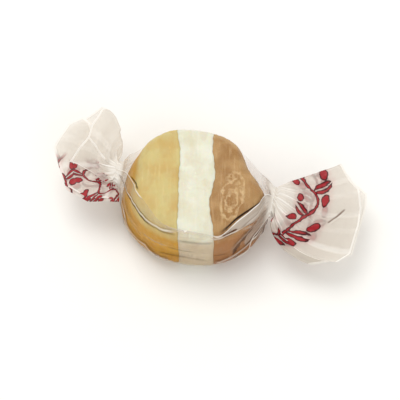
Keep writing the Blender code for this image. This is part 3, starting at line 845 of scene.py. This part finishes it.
def waxed_paper(look):
    """Thin tissue dipped in wax and printed: clear as glass where it lies on the candy, whitish where air is
    behind it, brighter along its creases and cut edges, where whitened wax carries painted highlight, with a
    soft wax shine. Painted shade lies beside its folds and in its lap, and a painted shadow under the lap's
    edge."""
    made, add = new_material("waxed_paper_printed")
    sheet, printed, phases, strengths, fold_place = (
        add("Attribute", output="Vector", attribute_name=name)
        for name in ("sheet_place", "print_place", "crease_place", "crease_strength", "fold_place")
    )
    clear, veil, lapped_and_shaded, from_cut, from_lap, lap_shadow_strength = (
        add("Attribute", output="Fac", attribute_name=name)
        for name in ("contact", "veil", "lapped_and_shaded", "from_cut", "from_lap", "lap_shadow_strength")
    )
    across, along, on_tail = add("SeparateXYZ", printed, output=None)
    phases = add("SeparateXYZ", phases, output=None)
    strengths = add("SeparateXYZ", strengths, output=None)
    away, bright, dark = add("SeparateXYZ", fold_place, output=None)
    # painted shadow in the gap under the lap's raised edge
    lap_shadow = add("Math ABSOLUTE", from_lap)
    lap_shadow = add("MapRange", lap_shadow, 0.12, 0.32, lap_shadow_strength, 0, **SMOOTH)

    # The paper's fibres are finer than the picture can show, so they are drawn 0.6 mm wide. Patches 4 mm
    # wide have come off the candy, and creases stray from their places over 3 mm.
    fibres = add("TexNoise", {"Vector": sheet, "Scale": 1.6, "Detail": 6.0, "Roughness": 0.65})
    patches = add("TexNoise", {"Vector": sheet, "Scale": 0.26, "Detail": 2.0})
    shift = add("TexNoise", {"Vector": sheet, "Scale": 0.35, "Detail": 2.0})
    shift = add("Math MULTIPLY_ADD", shift, 0.5, -0.25)

    # Creases: the pleats, 4.8 mm apart, the gathers between them, 2 mm apart, and the folds of the tails.
    # Each is a white line of whitened wax and painted highlight, with painted shade beside it
    crease = shaded = 0.0
    for index, (spacing, width, sway) in enumerate(((4.8, 0.42, 1.0), (2.0, 0.28, 1.0), (1.6, 0.36, 0.3))):
        moved = add("Math MULTIPLY_ADD", shift, sway, phases[index])
        found, beside = crease_line(add, moved, spacing, width, strengths[index])
        crease = add("Math MAXIMUM", crease, found)
        shaded = add("Math MAXIMUM", shaded, beside)

    # The folds of the wrapped paper: a bright line of whitened wax and painted highlight, painted shade on
    # its shaded side and weaker painted shade on the other
    away = add("Math MULTIPLY_ADD", shift, 0.4, away)
    fold = add("Math ABSOLUTE", away)
    fold = add("MapRange", fold, 0.1, 0.28, bright, 0, **SMOOTH)
    crease = add("Math MAXIMUM", crease, fold)
    fold_shade = add("MapRange", away, 0.12, 0.28, **SMOOTH)
    fold_shade = add("MapRange", away, 0.36, 0.75, fold_shade, 0, **SMOOTH)
    lit_side = add("MapRange", away, -0.5, -0.3, 0, 0.3, **SMOOTH)
    lit_side = add("MapRange", away, -0.24, -0.16, lit_side, 0, **SMOOTH)
    fold_shade = add("Math ADD", fold_shade, lit_side)
    fold_shade = add("Math MULTIPLY", fold_shade, dark)
    edge = add("MapRange", from_cut, 0.2, 0.5, 1, 0, **SMOOTH)

    # Print in a band that bends over 6 mm, with a darker rim to each stroke and a tint in the wax round it
    band = add("TexNoise", {"Vector": printed, "Scale": 0.16, "Detail": 1.0})
    band = add("Math MULTIPLY_ADD", band, 5.0, along)
    band = add("Math SUBTRACT", band, 2.5 + look.print_from)
    line = printed_garland(add, across, band, sheet)
    ink = add("MapRange", line, 0.34, 0.42, on_tail, 0, **SMOOTH)
    rim = add("MapRange", line, 0.14, 0.27, **SMOOTH)
    inked = {0: rim, 6: opaque(look.ink_colour), 7: opaque(look.ink_rim_colour)}
    inked = add("Mix", inked, **COLOURS)
    halo = add("MapRange", line, 0.3, 1.3, on_tail, 0, **SMOOTH)
    halo = add("Math MULTIPLY", halo, 0.3)

    thin = add("Math MULTIPLY", fibres, 0.5)
    stained = add("Math MULTIPLY", clear, 0.75)
    stained = add("MapRange", veil, 0.2, 0.5, stained, 0, **SMOOTH)
    # creases and cut edges are whitened wax with painted highlight, and painted shade lies beside the creases
    # where the paper clings and beside the folds
    whitened_and_highlit = add("Math MAXIMUM", crease, edge)
    painted_shade = add("Math SUBTRACT", shaded, whitened_and_highlit)
    painted_shade = add("Math MULTIPLY", painted_shade, clear)
    painted_shade = add("Math MAXIMUM", painted_shade, fold_shade)
    # the paper's colour, in turn: fibres, candy stain, painted shade in the lap and flap, whitened wax with
    # painted highlight, ink halo, ink, painted shade beside the folds, painted shadow under the lap
    colour = opaque(look.paper_colour)
    for factor, tint in (
        (thin, opaque(look.shade_colour)),
        (stained, opaque(look.stain_colour)),
        (lapped_and_shaded, opaque(look.lap_shade_colour)),
        (whitened_and_highlit, opaque(look.crease_colour)),
        (halo, opaque(look.halo_colour)),
        (ink, inked),
        (add("MapRange", painted_shade, 0.0, 0.25, **SMOOTH), opaque(look.painted_shade_colour)),
        (add("MapRange", lap_shadow, 0.0, 0.25, **SMOOTH), opaque(look.lap_shadow_colour)),
    ):
        colour = add("Mix", {0: factor, 6: colour, 7: tint}, **COLOURS)

    blot = add("MapRange", patches, 0.48, 0.56, 0, clear, **SMOOTH)
    # the painted shade beside the folds, and the painted shadow under the lap, hide more of the candy
    darkest = add("Math MULTIPLY", fold_shade, 1.5)
    darkest = add("Math MAXIMUM", painted_shade, darkest)
    hidden = veil
    for amount, hides in (
        (blot, look.blot_alpha),
        (crease, 0.5),
        (edge, 0.55),
        (ink, 0.5),
        (darkest, 0.5),
        (lap_shadow, 0.85),
    ):
        hidden = add("Math MULTIPLY_ADD", amount, hides, hidden)
    hidden = add("Clamp", hidden, 0.02, 0.95)

    relief = add("Math MULTIPLY_ADD", crease, 3.0, fibres)
    bump = add("Bump", {"Strength": 0.4, "Distance": 0.05 * MM, "Height": relief})
    shine = {"Base Color": colour, "Roughness": 0.38, "IOR": 1.44, "Normal": bump}
    shine = add("BsdfPrincipled", shine)
    glow = add("BsdfTranslucent", colour)
    lit_through = add("MapRange", veil, 0.62, 0.74, 0.35, 0, **SMOOTH)
    body = add("MixShader", lit_through, shine, glow)
    whole = add("MixShader", hidden, add("BsdfTransparent"), body)
    add("OutputMaterial", whole, output=None)
    return made


def coated_board(colour):
    """Matt coated board, as light tables are lined with: an even pale ground, with faint clouds 50 mm
    wide."""
    made, add = new_material("coated_board")
    grain = add("TexNoise", {"Scale": 60.0, "Detail": 2.0})
    grain = add("Math MULTIPLY", grain, 0.04)
    shade = add("Mix", {0: grain, 6: opaque(colour), 7: opaque(linear("E7E6E3"))}, **COLOURS)
    board = add("BsdfPrincipled", {"Base Color": shade, "Roughness": 0.7})
    add("OutputMaterial", board, output=None)
    return made


def share_property(name, description, amount):
    return bpy.props.FloatProperty(name=name, description=description, default=amount, subtype="FACTOR")


def length_property(name, description, amount):
    return bpy.props.FloatProperty(name=name, description=description, default=amount, unit="LENGTH")


def angle_property(name, description, degrees):
    radians = math.radians(degrees)
    return bpy.props.FloatProperty(name=name, description=description, default=radians, subtype="ANGLE")


def colour_property(name, description, code):
    return bpy.props.FloatVectorProperty(
        name=name, description=description, default=linear(code), subtype="COLOR"
    )


class TaffyCandyLook(bpy.types.PropertyGroup):
    caramel_end: length_property("Caramel end", "Where the caramel layer ends", -2.9 * MM)
    cream_end: length_property("Cream end", "Where the cream layer ends", 3.6 * MM)
    brown_bulge: length_property("Brown bulge", "How far the brown bulges into the cream", 0.9 * MM)
    caramel_colour: colour_property("Caramel", "Colour of the caramel layer", "D0C184")
    cream_colour: colour_property("Cream", "Colour of the cream layer", "E7E8D7")
    brown_colour: colour_property("Brown", "Colour of the brown layer", "BC9869")


class TaffyWrapperLook(bpy.types.PropertyGroup):
    stand_off: length_property("Stand-off", "How far the taut paper lies off the candy", 0.06 * MM)
    print_from: bpy.props.FloatProperty(
        name="Print at", description="Middle of the printed band, in mm from the neck", default=PRINT_AT
    )
    contact_alpha: share_property("On the candy", "How much the paper hides where it touches", 0.03)
    blot_alpha: share_property("Blots", "How much more it hides where it has come off", 0.06)
    shoulder_alpha: share_property("At the shoulders", "How much the taut paper hides off the candy", 0.14)
    lap_alpha: share_property("In the lap", "How much the loose edge of the lap hides", 0.72)
    band_alpha: share_property("Beside the lap's fold", "How much the lap hides where it lies flat", 0.2)
    flap_alpha: share_property("In the flap", "How much the flap on the brown side hides", 0.5)
    tail_alpha: share_property("In the tails", "How much each layer of a tail hides", 0.60)
    neck_alpha: share_property("In the necks", "How much the gathered paper hides", 0.93)
    paper_colour: colour_property("Paper", "Colour of the waxed paper", "EDE7DC")
    shade_colour: colour_property("Paper fibres", "Colour where the paper is thin", "DACFC5")
    stain_colour: colour_property("Candy stain", "Colour of the paper that lies on the candy", "D9A765")
    # painted shade where one layer lies on another, and in the flap
    lap_shade_colour: colour_property("Lap", "Colour of the shade painted where one layer lies on another", "D2C7BA")
    # whitened wax with painted highlight
    crease_colour: colour_property("Creases", "Colour of creases and cut edges", "FBF8F2")
    ink_colour: colour_property("Ink", "Colour of the print", "B01422")
    ink_rim_colour: colour_property("Ink rim", "Colour at the rim of each stroke", "4A0A12")
    halo_colour: colour_property("Ink halo", "Tint of the wax round the print", "E8A9A2")
    # painted shade beside the creases and folds
    painted_shade_colour: colour_property("Painted fold shade", "Colour of the shade painted beside folds", "5E3716")
    # painted shadow under the lap's raised edge
    lap_shadow_colour: colour_property("Under the lap", "Colour of the shadow painted under the lap", "3A2210")


class TaffyStageLook(bpy.types.PropertyGroup):
    floor_colour: colour_property("Floor", "Colour of the floor", "FAF9F5")
    azimuth: angle_property("Azimuth", "Camera angle round the candy, from the front", 10)
    elevation: angle_property("Elevation", "Camera angle above the floor", 65)
    frame_width: length_property("Frame width", "Width that the picture takes in", 74 * MM)


class TAFFY_OT_candy(bpy.types.Operator):
    """Makes the three pulled layers of the candy"""

    bl_idname = "taffy.candy"
    bl_label = "Pulled candy"

    def execute(self, context):
        look = context.scene.taffy_candy
        caramel_end = (look.caramel_end, 0.4, 0.0)
        cream_end = (look.cream_end, 1.9, look.brown_bulge)
        # each layer's two borders and its colour, the hex values of its darker and lighter streaks and of its
        # skin, which holds painted shade of the sides as well, how rough it is, and how much its loops show
        layers = {
            "taffy_caramel": (None, caramel_end, look.caramel_colour, "CDB16E DFCF98 C8952C", 0.42, 0.0),
            "taffy_cream": (caramel_end, cream_end, look.cream_colour, "DDDBC3 EDECDD CBBDA3", 0.40, 0.0),
            "taffy_brown": (cream_end, None, look.brown_colour, "A0784A DEC296 A87548", 0.45, 0.75),
        }
        for name, (lower, upper, colour, shades, roughness, marked) in layers.items():
            dark, light, skin = map(linear, shades.split())
            finish = pulled_taffy("pulled_" + name, colour, dark, light, skin, roughness, marked)
            seams = [border for border in (lower, upper) if border]
            made = layer_object("pulled_" + name, lower, upper, seams, finish)
            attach(made, "root")
            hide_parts(name)
        return {"FINISHED"}


class TAFFY_OT_wrapper(bpy.types.Operator):
    """Wraps the candy in its printed sheet of waxed paper, twisted at both ends"""

    bl_idname = "taffy.wrapper"
    bl_label = "Waxed paper"

    def execute(self, context):
        look = context.scene.taffy_wrapper
        grid, lengthwise, prints, creases = sheet_surface(look)
        rows, columns = grid.shape[:2]
        made = mesh_object("waxed_wrapper", grid, ring_faces(rows, columns, False), waxed_paper(look))
        across = np.linspace(0, SHEET_WIDTH, columns)
        away = np.full(rows * columns, 1.0)
        for name in ("taffy_caramel", "taffy_cream", "taffy_brown"):
            layer = bpy.data.objects["pulled_" + name].data
            corners = [vertex.co for vertex in layer.vertices]
            tree = BVHTree.FromPolygons(corners, [face.vertices for face in layer.polygons])
            for index, point in enumerate(grid.reshape(-1, 3)):
                hit = tree.find_nearest(Vector(point), CLEAR_OF_CANDY)
                if hit[0] is not None:
                    away[index] = min(away[index], hit[3])
        contact = 1 - smooth((away.reshape(rows, columns) - CLINGS_WITHIN) / (0.75 * MM))
        veil, lapped_and_shaded = sheet_veil(look, contact)
        from_sides = np.tile(np.minimum(across, SHEET_WIDTH - across), (rows, 1))
        steps = np.linalg.norm(np.diff(grid, axis=0), axis=2) / MM
        from_start = np.concatenate([np.zeros((1, columns)), np.cumsum(steps, axis=0)])
        from_ends = np.minimum(from_start, from_start[-1] - from_start)
        from_lap = np.full((rows, columns), 9.0)
        lap_shadow_strength = np.zeros((rows, columns))
        for side, (darkness, begins, ends, beyond, bright) in LAP_SHADOW.items():
            half = side * (np.arange(rows) - (rows - 1) / 2)
            there = half > 0
            half = half[there][:, None]
            half = np.minimum(half / BODY_ROWS, 1) + np.maximum(half - BODY_ROWS, 0) / SHOULDER_ROWS
            angle = wrapped_angle(side, half, np.linspace(0, 1, columns))
            from_lap[there] = np.radians(angle - angle[:, -1:] + 360) * FACE_RADIUS - beyond
            lap_shadow_strength[there] = darkness * smooth((half - begins) / 0.15) * smooth((ends - half) / 0.2)
            from_sides[there] += 0.36 * smooth((bright - half) / 0.12)
        fields = {
            "sheet_place": stacked(across, lengthwise[:, None], 0.0),
            "print_place": prints,
            "crease_place": creases[..., :3],
            "crease_strength": creases[..., 3:6],
            "fold_place": creases[..., 6:],
            "contact": contact,
            "veil": veil,
            "lapped_and_shaded": lapped_and_shaded,
            "from_cut": np.minimum(from_sides, from_ends),
            "from_lap": from_lap,
            "lap_shadow_strength": lap_shadow_strength,
        }
        for name, values in fields.items():
            kind, part = ("FLOAT_VECTOR", "vector") if values.ndim == 3 else ("FLOAT", "value")
            field = made.data.attributes.new(name, kind, "POINT")
            field.data.foreach_set(part, values.astype(np.float32).ravel())
        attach(made, "root")
        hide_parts("wrapper")
        return {"FINISHED"}


# The light from all round, and each lamp's place and width in metres and its power in watts
DAYLIGHT = (1.0, 0.99, 0.975)
DAYLIGHT_STRENGTH = 0.72
LAMPS = {"key": ((-0.20, 0.22, 0.65), 0.45, 2.1), "fill": ((0.35, -0.45, 0.50), 0.50, 0.8)}


class TAFFY_OT_stage(bpy.types.Operator):
    """Sets the pale floor, the soft studio light and the camera"""

    bl_idname = "taffy.stage"
    bl_label = "Floor, light and camera"

    def execute(self, context):
        look = context.scene.taffy_stage
        scene = context.scene
        far = FLOOR_HALF
        corners = np.array([(-far, -far, 0), (far, -far, 0), (far, far, 0), (-far, far, 0)], float)
        floor = mesh_object("floor", corners, [(0, 1, 2, 3)], coated_board(look.floor_colour))

        world = bpy.data.worlds.new("studio")
        world.use_nodes = True
        background = world.node_tree.nodes["Background"]
        background.inputs["Color"].default_value = opaque(DAYLIGHT)
        background.inputs["Strength"].default_value = DAYLIGHT_STRENGTH
        scene.world = world
        for name, (place, width, power) in LAMPS.items():
            lamp = bpy.data.lights.new(name, "AREA")
            lamp.size = width
            lamp.energy = power
            made = bpy.data.objects.new(name, lamp)
            made.location = place
            made.rotation_euler = (Vector((0, 0, 0)) - Vector(place)).to_track_quat("-Z", "Y").to_euler()
            scene.collection.objects.link(made)

        camera = bpy.data.cameras.new("camera")
        camera.lens = 180
        camera.sensor_width = 36
        far = look.frame_width * camera.lens / camera.sensor_width
        level = Vector((math.sin(look.azimuth), -math.cos(look.azimuth), 0))
        towards = level * math.cos(look.elevation) + Vector((0, 0, math.sin(look.elevation)))
        made = bpy.data.objects.new("camera", camera)
        made.location = CAMERA_TARGET + towards * far
        made.rotation_euler = (-towards).to_track_quat("-Z", "Y").to_euler()
        scene.collection.objects.link(made)
        scene.camera = made
        scene.view_settings.view_transform = "Standard"
        scene.cycles.transparent_max_bounces = 24
        return {"FINISHED"}


class TAFFY_PT_panel(bpy.types.Panel):
    bl_label = "Salt water taffy"
    bl_idname = "TAFFY_PT_panel"
    bl_space_type = "VIEW_3D"
    bl_region_type = "UI"
    bl_category = "Taffy"

    def draw(self, context):
        for group, operator in (
            (context.scene.taffy_candy, "taffy.candy"),
            (context.scene.taffy_wrapper, "taffy.wrapper"),
            (context.scene.taffy_stage, "taffy.stage"),
        ):
            box = self.layout.box()
            for name in group.__annotations__:
                box.prop(group, name)
            box.operator(operator)


GROUPS = {"taffy_candy": TaffyCandyLook, "taffy_wrapper": TaffyWrapperLook, "taffy_stage": TaffyStageLook}
CLASSES = (*GROUPS.values(), TAFFY_OT_candy, TAFFY_OT_wrapper, TAFFY_OT_stage, TAFFY_PT_panel)


def register():
    for made in CLASSES:
        bpy.utils.register_class(made)
    for name, group in GROUPS.items():
        setattr(bpy.types.Scene, name, bpy.props.PointerProperty(type=group))


def unregister():
    for name in GROUPS:
        delattr(bpy.types.Scene, name)
    for made in reversed(CLASSES):
        bpy.utils.unregister_class(made)


def main():
    register()
    bpy.ops.taffy.candy()
    bpy.ops.taffy.wrapper()
    bpy.ops.taffy.stage()


if __name__ == "__main__":
    main()
